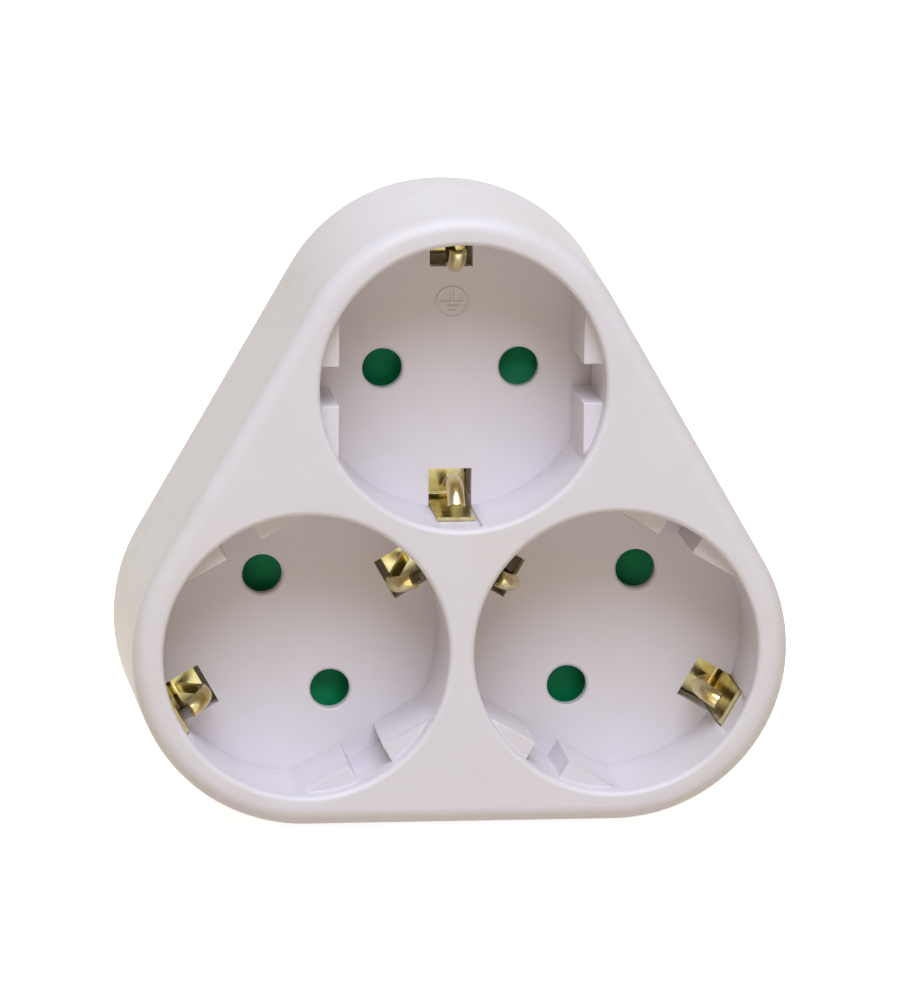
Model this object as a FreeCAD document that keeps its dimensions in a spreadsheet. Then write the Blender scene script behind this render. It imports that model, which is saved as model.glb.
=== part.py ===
import FreeCAD, Part
import math
import os
import re

import Sketcher

# Three-way earthed socket adapter, in millimetres.
# The adapter stands on its flat bottom side. Its front face looks along -Y, its plug points along +Y.
# Every piece is drawn from the front: across is to the right, down is down, depth is from the front face
# into the adapter.

DRIVING_SIZES = [
    # the housing's outline: three corner arcs about the sockets' axes, joined by flats
    ("front_border", 4.15, "front corner's arc beyond the well"),
    ("side_draft", 0.8, "how much the front shell widens to the parting line"),
    ("rear_draft", 1.2, "how much the rear shell narrows to its back face"),
    ("rear_shell_height", 8.0, "parting line to the back face"),
    ("shell_wall", 2.2, "side wall"),
    ("face_wall", 2.5, "front wall"),
    ("front_round", 2.5, "round of the front edge"),
    ("rear_round", 4.0, "round of the back edge"),
    ("lip_height", 1.2, "locating lip of the rear shell"),
    ("lip_wall", 1.0, "thickness of that lip"),
    ("lip_clearance", 0.15, "between the lip and the front shell"),
    # the three wells
    ("well_radius", 19.65, "recess for a plug"),
    ("well_land", 1.74, "half of the web between two wells"),
    ("well_depth", 17.5, "recess floor below the front face"),
    ("well_wall", 2.6, "wall of the well"),
    ("rim_round", 0.8, "lead-in round at the rim"),
    ("guide_thickness", 2.85, "guide pad inside the well's wall"),
    ("guide_gap", 5.4, "gap between the two pads of a side"),
    ("guide_depth", 3.0, "top of the pads below the front face"),
    ("guide_root", 0.5, "how far a pad's root lies in the wall"),
    ("notch_cut", 0.45, "notch in the wall for an earth contact"),
    ("notch_clearance", 0.3, "beside the earth contact in its notch"),
    ("notch_depth", 2.0, "top of that notch below the front face"),
    # the floor plates
    ("plate_thickness", 2.0, "floor plate"),
    ("plate_land", 0.6, "edge of the floor plate beyond the well"),
    ("plate_clearance", 0.1, "between the plate and its seat"),
    ("skirt_wall", 1.4, "skirt that stands on the carrier"),
    ("pin_spacing", 19.0, "between the two pins of a plug"),
    ("pin_hole_radius", 2.8, "hole for a pin"),
    ("pin_hole_chamfer", 0.3, "lead-in of that hole"),
    # the shutters
    ("shutter_gap", 0.2, "between a shutter and the floor plate"),
    ("shutter_thickness", 2.8, "shutter"),
    ("shutter_play", 0.5, "between a shutter and the carrier"),
    ("hub_wall", 1.55, "hub round its spring"),
    ("blade_overlap", 0.7, "tip of a blade beyond the pin hole"),
    ("blade_angle", 40.0, "spread of a blade in degrees"),
    ("ramp_land", 0.4, "between the hub and a blade's ramp"),
    ("ramp_drop", 2.0, "depth of the ramp at its low side"),
    ("ramp_hollow", 0.55, "how far the ramp is dished"),
    ("post_radius", 2.0, "pivot post"),
    ("pivot_clearance", 0.05, "between the post and the shutter's bore"),
    ("spring_wire_radius", 0.2, "shutter spring's wire"),
    ("spring_gap", 1.2, "from the post to the middle of the spring's wire"),
    ("spring_pitch", 0.5, "from one turn to the next"),
    ("spring_floor", 0.9, "hub in front of the spring's room"),
    ("spring_lift", 0.15, "between the coil and the floor of its room"),
    ("spring_clearance", 0.25, "round the spring's coil and legs"),
    # the carrier
    ("carrier_thickness", 1.6, "carrier plate"),
    ("carrier_play", 0.2, "round the carrier in the front shell"),
    ("carrier_clearance", 0.2, "round what passes through the carrier"),
    ("carrier_land", 1.0, "carrier's slot short of the floor plate's slot"),
    # sheet brass
    ("strap_width", 5.4, "earth strap"),
    ("strap_thickness", 0.5, "earth strap's metal"),
    ("strap_clearance", 0.1, "between an upright and the bottom of its notch"),
    ("strap_height", 8.5, "upright above the recess floor"),
    ("strap_bend", 1.2, "outer radius of the strap's bends"),
    ("tongue_projection", 5.45, "innermost point of a tongue inside the well's wall"),
    ("tongue_height", 4.7, "that point above the recess floor"),
    ("tongue_width", 2.4, "tongue's rounded nose"),
    ("tongue_leaf_width", 1.4, "leaf that carries the nose"),
    ("tongue_bow_radius", 5.5, "inside radius of the nose's bow"),
    ("tongue_tip_angle", 62.0, "bow's turn towards its free end in degrees"),
    ("tongue_root_angle", 20.0, "bow's turn towards its leaf in degrees"),
    ("bar_thickness", 0.8, "bus bars and earth link"),
    ("bar_width", 5.0, "bus bars"),
    ("eye_border", 1.5, "eye round a contact"),
    ("line_bar_gap", 3.0, "between the carrier and the line bar"),
    ("neutral_bar_gap", 6.4, "between the carrier and the neutral bar"),
    ("link_overlap", 4.3, "earth link's disc over the straps' ends"),
    ("link_leg_width", 5.0, "earth link's leg"),
    ("link_leg_offset", 2.0, "that leg above the centre line"),
    # contacts
    ("contact_bore_radius", 2.6, "sleeve's bore"),
    ("contact_squeeze", 0.25, "how much the gripping end is drawn in"),
    ("contact_wall", 0.5, "sleeve's wall"),
    ("contact_flange", 0.9, "flange at the mouth beyond the sleeve"),
    ("contact_flange_thickness", 0.6, "that flange"),
    ("contact_length", 12.4, "sleeve behind the carrier"),
    ("contact_slit_length", 4.6, "slits from the gripping end"),
    ("contact_slit_width", 0.7, "slit"),
    ("contact_end_clearance", 0.8, "between the gripping end and the back wall"),
    # plug
    ("barrel_radius", 18.4, "plug's barrel"),
    ("barrel_length", 17.0, "back face to the plug's face"),
    ("barrel_wall", 4.0, "wall of the barrel"),
    ("barrel_end_wall", 2.5, "end of the barrel"),
    ("barrel_flat_cut", 2.0, "depth of the barrel's side flats"),
    ("barrel_key_width", 5.0, "key left between two flats"),
    ("barrel_end_round", 0.8, "round of the barrel's end"),
    ("earth_groove_cut", 1.7, "depth of the groove for the plug's earth contact"),
    ("earth_groove_clearance", 0.4, "beside the earth contact in its groove"),
    ("earth_groove_inset", 1.5, "front end of that groove behind the back face"),
    ("plug_strap_thickness", 0.6, "plug's earth strap"),
    ("plug_strap_inset", 3.8, "front of that strap's base behind the back face"),
    ("plug_strap_end", 1.5, "strap's end short of the plug's face"),
    ("plug_strap_clearance", 0.1, "round the strap's base in the barrel"),
    ("pin_radius", 2.4, "plug's pin"),
    ("pin_reach", 19.0, "pin beyond the plug's face"),
    ("pin_tip_round", 1.6, "round of the pin's tip"),
    ("pin_collar", 0.2, "collar in the barrel beyond the pin's radius"),
    ("pin_collar_reach", 0.4, "that collar beyond the plug's face"),
    ("pin_collar_inset", 6.0, "front end of that collar behind the back face"),
    ("pin_stem_radius", 1.6, "pin's stem"),
    ("pin_head_border", 1.0, "riveted head beyond the stem"),
    ("pin_head_height", 0.8, "that head"),
    ("pin_boss_wall", 2.0, "boss round a pin"),
    ("pin_boss_inset", 2.0, "front end of that boss behind the back face"),
    # screws
    ("screw_inset", 7.95, "a screw's axis from the flat at the parting line"),
    ("screw_radius", 1.5, "shank"),
    ("screw_head_radius", 2.9, "head"),
    ("screw_head_height", 2.2, "head"),
    ("screw_length", 26.0, "shank"),
    ("screw_recess_clearance", 0.3, "round the head in its counterbore"),
    ("screw_recess_depth", 5.0, "that counterbore"),
    ("screw_passage_clearance", 0.2, "round the shank in the rear shell"),
    ("screw_tube_wall", 1.1, "tube of the rear shell"),
    ("screw_tube_clearance", 0.4, "round that tube in a bus bar"),
    ("screw_boss_wall", 1.7, "boss of the front shell"),
    ("screw_slot_width", 0.9, "cross recess"),
    ("screw_slot_length", 3.4, "cross recess"),
    ("screw_slot_depth", 1.4, "cross recess"),
    ("screw_hole_spare", 1.0, "blind hole beyond the screw's end"),
]

# Depths that follow from the driving sizes
PLATE_BACK = "(well_depth + plate_thickness)"
SHUTTER_FRONT = "(%s + shutter_gap)" % PLATE_BACK
SHUTTER_BACK = "(%s + shutter_thickness)" % SHUTTER_FRONT
CARRIER_FRONT = "(%s + shutter_play)" % SHUTTER_BACK
CARRIER_BACK = "(%s + carrier_thickness)" % CARRIER_FRONT
CONTACT_END = "(%s + contact_length)" % CARRIER_BACK
BACK_WALL = "(%s + contact_end_clearance)" % CONTACT_END
BACK_FACE = "(%s + shell_wall)" % BACK_WALL
PARTING = "(%s - rear_shell_height)" % BACK_FACE
PLUG_FACE = "(%s + barrel_length)" % BACK_FACE
PIN_TIP = "(%s + pin_reach)" % PLUG_FACE
SCREW_SEAT = "(%s - screw_recess_depth)" % BACK_FACE
BARREL_FLOOR = "(%s - barrel_end_wall)" % PLUG_FACE
NOSE_DEPTH = "(well_depth - tongue_height)"
LINE_BAR = "(%s + line_bar_gap)" % CARRIER_BACK
NEUTRAL_BAR = "(%s + neutral_bar_gap)" % CARRIER_BACK
PLUG_STRAP = "(%s + plug_strap_inset)" % BACK_FACE

# Radii and reaches about a socket's axis, then about the plug's axis
FRONT_CORNER = "(well_radius + front_border)"
PARTING_CORNER = "(%s + side_draft)" % FRONT_CORNER
CAVITY_CORNER = "(%s - shell_wall)" % FRONT_CORNER
PLATE_RADIUS = "(well_radius + plate_land)"
PLATE_SEAT = "(%s + plate_clearance)" % PLATE_RADIUS
GUIDE_REACH = "(well_radius - guide_thickness)"
NOTCH_REACH = "(well_radius + notch_cut)"
NOTCH_HALF = "(strap_width / 2 + notch_clearance)"
STRAP_REACH = "(%s - strap_clearance)" % NOTCH_REACH
TONGUE_REACH = "(well_radius - tongue_projection)"
COIL_RADIUS = "(post_radius + spring_gap)"
HUB_RADIUS = "(%s + spring_wire_radius + spring_clearance + hub_wall)" % COIL_RADIUS
BLADE_RADIUS = "(pin_spacing / 2 + pin_hole_radius + blade_overlap)"
CONTACT_RADIUS = "(contact_bore_radius + contact_wall)"
FLANGE_RADIUS = "(%s + contact_flange)" % CONTACT_RADIUS
GROOVE_REACH = "(barrel_radius - earth_groove_cut)"
PIN_COLLAR = "(pin_radius + pin_collar)"
SCREW_BOSS = "(screw_radius + screw_boss_wall)"
SCREW_RECESS = "(screw_head_radius + screw_recess_clearance)"
SCREW_TUBE = "(%s + screw_tube_wall)" % SCREW_RECESS

# Neighbouring wells leave a web between them; the adapter stands on its parting line, and the frame's
# origin lies under the middle of the whole
SOCKET_OFFSET = "((well_radius + well_land) / sin(60))"
CENTRE_HEIGHT = "(%s / 2 + %s)" % (SOCKET_OFFSET, PARTING_CORNER)
SCREW_OFFSET = "(%s - screw_inset)" % CENTRE_HEIGHT
FRONT_FACE = "-%s / 2" % PIN_TIP

SOCKETS = [("top", 0), ("right", 120), ("left", 240)]
SIDES = [("bottom", 0), ("left", 120), ("right", 240)]

document = FreeCAD.newDocument("SocketAdapter")
sheet = document.addObject("Spreadsheet::Sheet", "Sizes")
for row, (alias, value, meaning) in enumerate(DRIVING_SIZES, start=1):
    sheet.set("A%d" % row, alias)
    sheet.set("B%d" % row, str(value))
    sheet.set("C%d" % row, meaning)
    sheet.setAlias("B%d" % row, alias)
document.recompute()

VECTOR = FreeCAD.Vector
CELL_NAME = r"[a-z]+(?:_[a-z]+)+"
TOUCH = 0.001
SPRING_TURNS = 2.5
WIRE_SIDES = 6
pieces = []


def size(alias):
    return float(getattr(sheet, alias))


def bound(formula):
    """Names the sheet's cells in a formula."""
    return re.sub(CELL_NAME, lambda found: "Sizes." + found.group(0), formula)


def number(formula):
    """A formula's present value; its angles are in degrees."""
    filled = re.sub(CELL_NAME, lambda found: repr(size(found.group(0))), formula)
    in_radians = re.sub(r"(sin|cos|tan)\(([^()]*)\)", r"\1((\2) * pi / 180)", filled)
    return FreeCAD.Units.Quantity(in_radians).Value


def point_at(across, down):
    return VECTOR(number(across), number(down), 0)


def origin_feature(body, role):
    return next(item for item in body.Origin.OriginFeatures if item.Role == role)


# Pieces and their places

def new_piece(label, across="0", down="0", turn=0):
    """Starts a body drawn from the front, its own axis moved across and down and turned clockwise."""
    body = document.addObject("PartDesign::Body", label)
    body.Label = label
    set_place(body, across, down, turn)
    pieces.append(body)
    return body


def set_place(thing, across, down, turn):
    facing = FreeCAD.Rotation(VECTOR(1, 0, 0), -90)
    thing.Placement = FreeCAD.Placement(VECTOR(), facing * FreeCAD.Rotation(VECTOR(0, 0, 1), turn))
    thing.setExpression("Placement.Base.x", bound(across))
    thing.setExpression("Placement.Base.y", bound(FRONT_FACE))
    thing.setExpression("Placement.Base.z", bound("%s - (%s)" % (CENTRE_HEIGHT, down)))


def socket_piece(label, turn):
    angle = turn - 90
    return new_piece(label, "%s * cos(%d)" % (SOCKET_OFFSET, angle), "%s * sin(%d)" % (SOCKET_OFFSET, angle),
                     turn)


# Sketches

def new_sketch(body, name, depth="0", across="0", down="0", role="XY_Plane"):
    sketch = body.newObject("Sketcher::SketchObject", name)
    sketch.AttachmentSupport = [(origin_feature(body, role), "")]
    sketch.MapMode = "FlatFace"
    sketch.setExpression("AttachmentOffset.Base.x", bound(across))
    sketch.setExpression("AttachmentOffset.Base.y", bound(down))
    sketch.setExpression("AttachmentOffset.Base.z", bound(depth))
    return sketch


def bind(sketch, kind, parts, formula):
    """Adds a dimension that follows a formula."""
    index = sketch.addConstraint(Sketcher.Constraint(kind, *parts, number(formula)))
    sketch.setExpression("Constraints[%d]" % index, bound(formula))


def fix_point(sketch, geometry, point, across, down):
    if across == "0":
        sketch.addConstraint(Sketcher.Constraint("PointOnObject", geometry, point, -2))
    else:
        bind(sketch, "DistanceX", (-1, 1, geometry, point), across)
    if down == "0":
        sketch.addConstraint(Sketcher.Constraint("PointOnObject", geometry, point, -1))
    else:
        bind(sketch, "DistanceY", (-1, 1, geometry, point), down)


def join(sketch, first, first_point, second, second_point, kind="Coincident"):
    sketch.addConstraint(Sketcher.Constraint(kind, first, first_point, second, second_point))


def add_circle(sketch, radius, across="0", down="0"):
    circle = sketch.addGeometry(Part.Circle(point_at(across, down), VECTOR(0, 0, 1), number(radius)))
    bind(sketch, "Radius", (circle,), radius)
    fix_point(sketch, circle, 3, across, down)


def add_arc(sketch, centre, radius, start, end):
    """Arc between two angles in degrees: centre is (across, down) formulas."""
    circle = Part.Circle(point_at(*centre), VECTOR(0, 0, 1), number(radius))
    return sketch.addGeometry(Part.ArcOfCircle(circle, math.radians(start), math.radians(end)))


def add_outline(sketch, points):
    """Closed straight-sided outline through points given as (across, down) formulas."""
    count = len(points)
    corners = [point_at(*point) for point in points]
    lines = [sketch.addGeometry(Part.LineSegment(corners[i], corners[(i + 1) % count]))
             for i in range(count)]
    for i, line in enumerate(lines):
        join(sketch, line, 2, lines[(i + 1) % count], 1)
        fix_point(sketch, line, 1, *points[i])


def add_rectangle(sketch, left, right, top, bottom):
    add_outline(sketch, [(left, top), (right, top), (right, bottom), (left, bottom)])


def add_rounded_triangle(sketch, radius):
    """Three equal corner arcs about the sockets' axes, one at the top, joined by tangent flats."""
    angles = [-90, 30, 150]
    centres = [("0" if angle == -90 else "%s * cos(%d)" % (SOCKET_OFFSET, angle),
                "%s * sin(%d)" % (SOCKET_OFFSET, angle)) for angle in angles]
    arcs = [add_arc(sketch, centre, radius, angle - 60, angle + 60) for centre, angle in zip(centres, angles)]
    ends = [(sketch.getPoint(arc, 1), sketch.getPoint(arc, 2)) for arc in arcs]
    lines = [sketch.addGeometry(Part.LineSegment(ends[i][1], ends[(i + 1) % 3][0])) for i in range(3)]
    for i, arc in enumerate(arcs):
        fix_point(sketch, arc, 3, *centres[i])
        bind(sketch, "Radius", (arc,), radius)
        join(sketch, arc, 2, lines[i], 1, "Tangent")
        join(sketch, lines[i], 2, arcs[(i + 1) % 3], 1, "Tangent")


def add_segment(sketch, side, end, flat, edge, radius):
    """Piece of a disc beyond a flat and beyond an edge: side and end are 1 or -1."""
    reach = number(radius)
    flat_turn = math.degrees(math.acos(number(flat) / reach))
    edge_turn = math.degrees(math.asin(number(edge) / reach))
    quarter = {(1, 1): 0, (-1, 1): 90, (-1, -1): 180, (1, -1): 270}[side, end]
    turns = (edge_turn, flat_turn) if side == end else (90 - flat_turn, 90 - edge_turn)
    arc = add_arc(sketch, ("0", "0"), radius, quarter + turns[0], quarter + turns[1])
    flat_point = 2 if side == end else 1
    corner = ("%d * (%s)" % (side, flat), "%d * (%s)" % (end, edge))
    lines = [sketch.addGeometry(Part.LineSegment(point_at(*corner), sketch.getPoint(arc, point)))
             for point in (flat_point, 3 - flat_point)]
    fix_point(sketch, arc, 3, "0", "0")
    bind(sketch, "Radius", (arc,), radius)
    join(sketch, lines[0], 1, lines[1], 1)
    join(sketch, lines[0], 2, arc, flat_point)
    join(sketch, lines[1], 2, arc, 3 - flat_point)
    sketch.addConstraint(Sketcher.Constraint("Vertical", lines[0]))
    sketch.addConstraint(Sketcher.Constraint("Horizontal", lines[1]))
    fix_point(sketch, lines[0], 1, *corner)


def add_sector(sketch, radius, half_angle):
    """Slice of a disc about the level axis, from the disc's centre."""
    half = number(half_angle)
    arc = add_arc(sketch, ("0", "0"), radius, -half, half)
    lines = [sketch.addGeometry(Part.LineSegment(VECTOR(), sketch.getPoint(arc, point))) for point in (1, 2)]
    fix_point(sketch, arc, 3, "0", "0")
    for point, line in enumerate(lines, start=1):
        join(sketch, line, 1, -1, 1)
        join(sketch, line, 2, arc, point)
    rise = "%s * sin(%s)" % (radius, half_angle)
    fix_point(sketch, arc, 1, "%s * cos(%s)" % (radius, half_angle), "-%s" % rise)
    bind(sketch, "DistanceY", (-1, 1, arc, 2), rise)


def add_wire(sketch, across, down):
    """Six-sided section of the spring's wire."""
    turns = [360 / WIRE_SIDES * side for side in range(WIRE_SIDES)]
    add_outline(sketch, [("%s + spring_wire_radius * cos(%d)" % (across, turn),
                          "%s + spring_wire_radius * sin(%d)" % (down, turn)) for turn in turns])


def add_ramp(sketch):
    """Side view of a blade's dished ramp: an arc from the high edge to the low one, closed in front of it."""
    edge = "%s * sin(blade_angle / 2)" % BLADE_RADIUS
    high = (edge, SHUTTER_FRONT)
    low = ("-" + edge, "%s + ramp_drop" % SHUTTER_FRONT)
    clear_low = ("-%s - shutter_gap" % edge, "%s - shutter_gap" % SHUTTER_FRONT)
    clear_high = ("%s + shutter_gap" % edge, "%s - shutter_gap" % SHUTTER_FRONT)
    chord = point_at(*low) - point_at(*high)
    dish = VECTOR(chord.y, -chord.x, 0).normalize() * size("ramp_hollow")
    crest = (point_at(*high) + point_at(*low)) / 2 + dish
    arc = sketch.addGeometry(Part.Arc(point_at(*high), crest, point_at(*low)))
    corners = [low, clear_low, clear_high, high]
    lines = [sketch.addGeometry(Part.LineSegment(point_at(*corners[i]), point_at(*corners[i + 1])))
             for i in range(3)]
    bind(sketch, "Radius", (arc,), "((%s)^2 + ramp_drop^2 / 4 + ramp_hollow^2) / (2 * ramp_hollow)" % edge)
    join(sketch, arc, 2, lines[0], 1)
    join(sketch, lines[0], 2, lines[1], 1)
    join(sketch, lines[1], 2, lines[2], 1)
    join(sketch, lines[2], 2, arc, 1)
    for line, corner in zip(lines, corners):
        fix_point(sketch, line, 1, *corner)
    fix_point(sketch, arc, 1, *high)


def add_tongue_leaf(sketch):
    """Side view of the leaf: tangent to the nose's bow, from there to the strap's base near the wall."""
    middle = "(%s + tongue_bow_radius + strap_thickness)" % TONGUE_REACH
    ends = []
    for radius in ("(tongue_bow_radius + strap_thickness)", "tongue_bow_radius"):
        across = "(%s - %s * cos(tongue_root_angle))" % (middle, radius)
        down = "(%s + %s * sin(tongue_root_angle))" % (NOSE_DEPTH, radius)
        foot = "(%s + (%s - %s) * tan(tongue_root_angle))" % (across, CARRIER_BACK, down)
        ends += [[(across, down), (foot, CARRIER_BACK)]]
    add_outline(sketch, ends[0] + ends[1][::-1])


def add_half_tube(sketch, centre, radius, wall):
    """Half of a ring, open away from the body's axis."""
    arcs = [add_arc(sketch, ("0", centre), reach, 180, 360) for reach in (radius, "%s - %s" % (radius, wall))]
    lines = [sketch.addGeometry(Part.LineSegment(*[sketch.getPoint(arc, point) for arc in arcs]))
             for point in (1, 2)]
    for arc, reach in zip(arcs, (radius, "%s - %s" % (radius, wall))):
        fix_point(sketch, arc, 3, "0", centre)
        bind(sketch, "Radius", (arc,), reach)
    for point, line in enumerate(lines, start=1):
        join(sketch, line, 1, arcs[0], point)
        join(sketch, line, 2, arcs[1], point)
        bind(sketch, "DistanceY", (-1, 1, line, 1), centre)
        bind(sketch, "DistanceY", (-1, 1, line, 2), centre)


# Features

def pad(body, name, sketch, length):
    feature = body.newObject("PartDesign::Pad", name)
    feature.Profile = sketch
    feature.setExpression("Length", bound(length))
    return feature


def pocket(body, name, sketch, length):
    """Cuts from the sketch towards the back."""
    feature = body.newObject("PartDesign::Pocket", name)
    feature.Profile = sketch
    feature.Reversed = True
    feature.setExpression("Length", bound(length))
    return feature


def disc(body, name, make, radius, start, end, across="0", down="0"):
    """A round pad or pocket between two depths."""
    sketch = new_sketch(body, name + "_sketch", depth=start)
    add_circle(sketch, radius, across, down)
    return make(body, name, sketch, "%s - %s" % (end, start))


def block(body, name, make, sides, start, end):
    """A rectangular pad or pocket between two depths: sides are left, right, top and bottom."""
    sketch = new_sketch(body, name + "_sketch", depth=start)
    add_rectangle(sketch, *sides)
    return make(body, name, sketch, "%s - %s" % (end, start))


def loft(body, name, kind, back, front):
    feature = body.newObject(kind, name)
    feature.Profile = back
    feature.Sections = [front]
    feature.Ruled = True
    return feature


def around(body, name, features, count):
    """Repeats features round the body's own axis."""
    feature = body.newObject("PartDesign::PolarPattern", name)
    feature.Originals = features
    feature.Axis = (origin_feature(body, "Z_Axis"), [""])
    feature.Angle = 360
    feature.Occurrences = count
    body.Tip = feature
    return feature


def dress(body, name, kind, edge_test, amount):
    """Rounds or chamfers the edges of the body's latest feature that pass a test."""
    document.recompute()
    base = body.Tip
    names = ["Edge%d" % i for i, edge in enumerate(base.Shape.Edges, start=1) if edge_test(edge)]
    feature = body.newObject("PartDesign::" + kind, name)
    feature.Base = (base, names)
    feature.setExpression("Radius" if kind == "Fillet" else "Size", bound(amount))
    return feature


def at_depth(edge, depth):
    return all(abs(vertex.Z - number(depth)) < TOUCH for vertex in edge.Vertexes)


def at_reach(edge, reach):
    """Whether a level edge lies that far above or below the body's axis."""
    return abs(abs(edge.CenterOfMass.y) - number(reach)) < TOUCH


def is_round(edge, radius):
    return isinstance(edge.Curve, Part.Circle) and abs(edge.Curve.Radius - number(radius)) < TOUCH


def revolve(body, name, points):
    """Turned shape: points are (radius, depth) formulas."""
    sketch = new_sketch(body, name + "_sketch", role="XZ_Plane")
    add_outline(sketch, points)
    feature = body.newObject("PartDesign::Revolution", name)
    feature.Profile = sketch
    feature.ReferenceAxis = (sketch, ["V_Axis"])
    feature.Angle = 360
    return feature


def triangle_sketch(body, name, depth, radius):
    sketch = new_sketch(body, name, depth=depth)
    add_rounded_triangle(sketch, radius)
    return sketch


# The housing's two shells

def build_front_housing():
    body = new_piece("front_housing")
    front = triangle_sketch(body, "front_outline", "0", FRONT_CORNER)
    parting = triangle_sketch(body, "parting_outline", PARTING, PARTING_CORNER)
    loft(body, "outer_form", "PartDesign::AdditiveLoft", parting, front)
    dress(body, "front_edge", "Fillet", lambda edge: at_depth(edge, "0"), "front_round")
    cavity = triangle_sketch(body, "cavity_outline", "face_wall", CAVITY_CORNER)
    pocket(body, "cavity", cavity, "%s - face_wall" % PARTING)

    socket = "-" + SOCKET_OFFSET
    tower = disc(body, "well_tower", pad, "well_radius + well_wall", "face_wall", CARRIER_FRONT, "0", socket)
    bore = disc(body, "well_bore", pocket, "well_radius", "0", CARRIER_FRONT, "0", socket)
    seat = disc(body, "plate_seat", pocket, PLATE_SEAT, "well_depth", CARRIER_FRONT, "0", socket)
    sketch = new_sketch(body, "guide_pads_sketch", depth="guide_depth", down=socket)
    for side in (1, -1):
        for end in (1, -1):
            add_segment(sketch, side, end, GUIDE_REACH, "guide_gap / 2", "(well_radius + guide_root)")
    guides = pad(body, "guide_pads", sketch, "well_depth - guide_depth")
    reaches = ("%s - %s" % (socket, NOTCH_REACH), "%s + %s" % (socket, NOTCH_REACH))
    sides = ("-" + NOTCH_HALF, NOTCH_HALF) + reaches
    notches = block(body, "strap_notches", pocket, sides, "notch_depth", "well_depth")
    around(body, "three_wells", [tower, bore, seat, guides, notches], 3)

    boss = disc(body, "screw_boss", pad, SCREW_BOSS, "face_wall", CARRIER_BACK, "0", SCREW_OFFSET)
    hole_end = "(%s - screw_length - screw_hole_spare)" % SCREW_SEAT
    hole = disc(body, "screw_hole", pocket, "screw_radius", hole_end, CARRIER_BACK, "0", SCREW_OFFSET)
    around(body, "three_bosses", [boss, hole], 3)
    dress(body, "rims", "Fillet", lambda edge: at_depth(edge, "0") and is_round(edge, "well_radius"),
          "rim_round")


def build_rear_housing():
    body = new_piece("rear_housing")
    parting = triangle_sketch(body, "parting_outline", PARTING, PARTING_CORNER)
    back = triangle_sketch(body, "back_outline", BACK_FACE, PARTING_CORNER + " - rear_draft")
    loft(body, "outer_form", "PartDesign::AdditiveLoft", back, parting)
    dress(body, "back_edge", "Fillet", lambda edge: at_depth(edge, BACK_FACE), "rear_round")
    disc(body, "barrel", pad, "barrel_radius", BACK_WALL, PLUG_FACE)
    dress(body, "barrel_end", "Fillet", lambda edge: at_depth(edge, PLUG_FACE), "barrel_end_round")

    cavity = triangle_sketch(body, "cavity_outline", PARTING, PARTING_CORNER + " - shell_wall - rear_draft")
    pocket(body, "cavity", cavity, "%s - %s" % (BACK_WALL, PARTING))
    disc(body, "barrel_bore", pocket, "barrel_radius - barrel_wall", PARTING, BARREL_FLOOR)
    lip = CAVITY_CORNER + " - lip_clearance"
    sketch = triangle_sketch(body, "lip_outline", PARTING + " - lip_height", lip)
    add_rounded_triangle(sketch, lip + " - lip_wall")
    pad(body, "lip", sketch, "lip_height + lip_wall")

    sketch = new_sketch(body, "barrel_flats_sketch", depth=BACK_FACE)
    for side in (1, -1):
        for end in (1, -1):
            add_segment(sketch, side, end, "(barrel_radius - barrel_flat_cut)", "barrel_key_width / 2",
                        "(barrel_radius + shell_wall)")
    pocket(body, "barrel_flats", sketch, "barrel_length")
    half = "(strap_width / 2 + earth_groove_clearance)"
    grooves = {"upper_groove": ("-barrel_radius", "-" + GROOVE_REACH),
               "lower_groove": (GROOVE_REACH, "barrel_radius")}
    groove_start = "(%s + earth_groove_inset)" % BACK_FACE
    for name, reach in grooves.items():
        block(body, name, pocket, ("-" + half, half) + reach, groove_start, PLUG_FACE)
    sketch = new_sketch(body, "strap_passage_sketch", role="XZ_Plane")
    half = "(strap_width / 2 + plug_strap_clearance)"
    add_rectangle(sketch, "-" + half, half, PLUG_STRAP + " - plug_strap_clearance",
                  PLUG_STRAP + " + plug_strap_thickness + plug_strap_clearance")
    passage = body.newObject("PartDesign::Pocket", "strap_passage")
    passage.Profile = sketch
    passage.Midplane = True
    passage.setExpression("Length", bound("2 * barrel_radius"))

    boss_start = "(%s + pin_boss_inset)" % BACK_FACE
    boss = disc(body, "pin_boss", pad, PIN_COLLAR + " + pin_boss_wall", boss_start, BARREL_FLOOR,
                "pin_spacing / 2")
    hole = disc(body, "pin_hole", pocket, PIN_COLLAR, boss_start, PLUG_FACE, "pin_spacing / 2")
    around(body, "two_pin_bosses", [boss, hole], 2)
    tube = disc(body, "screw_tube", pad, SCREW_TUBE, CARRIER_BACK, BACK_WALL, "0", SCREW_OFFSET)
    passage = disc(body, "screw_passage", pocket, "screw_radius + screw_passage_clearance", CARRIER_BACK,
                   BACK_FACE, "0", SCREW_OFFSET)
    recess = disc(body, "screw_recess", pocket, SCREW_RECESS, SCREW_SEAT, BACK_FACE, "0", SCREW_OFFSET)
    around(body, "three_screw_tubes", [tube, passage, recess], 3)


# What sits behind each well

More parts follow.
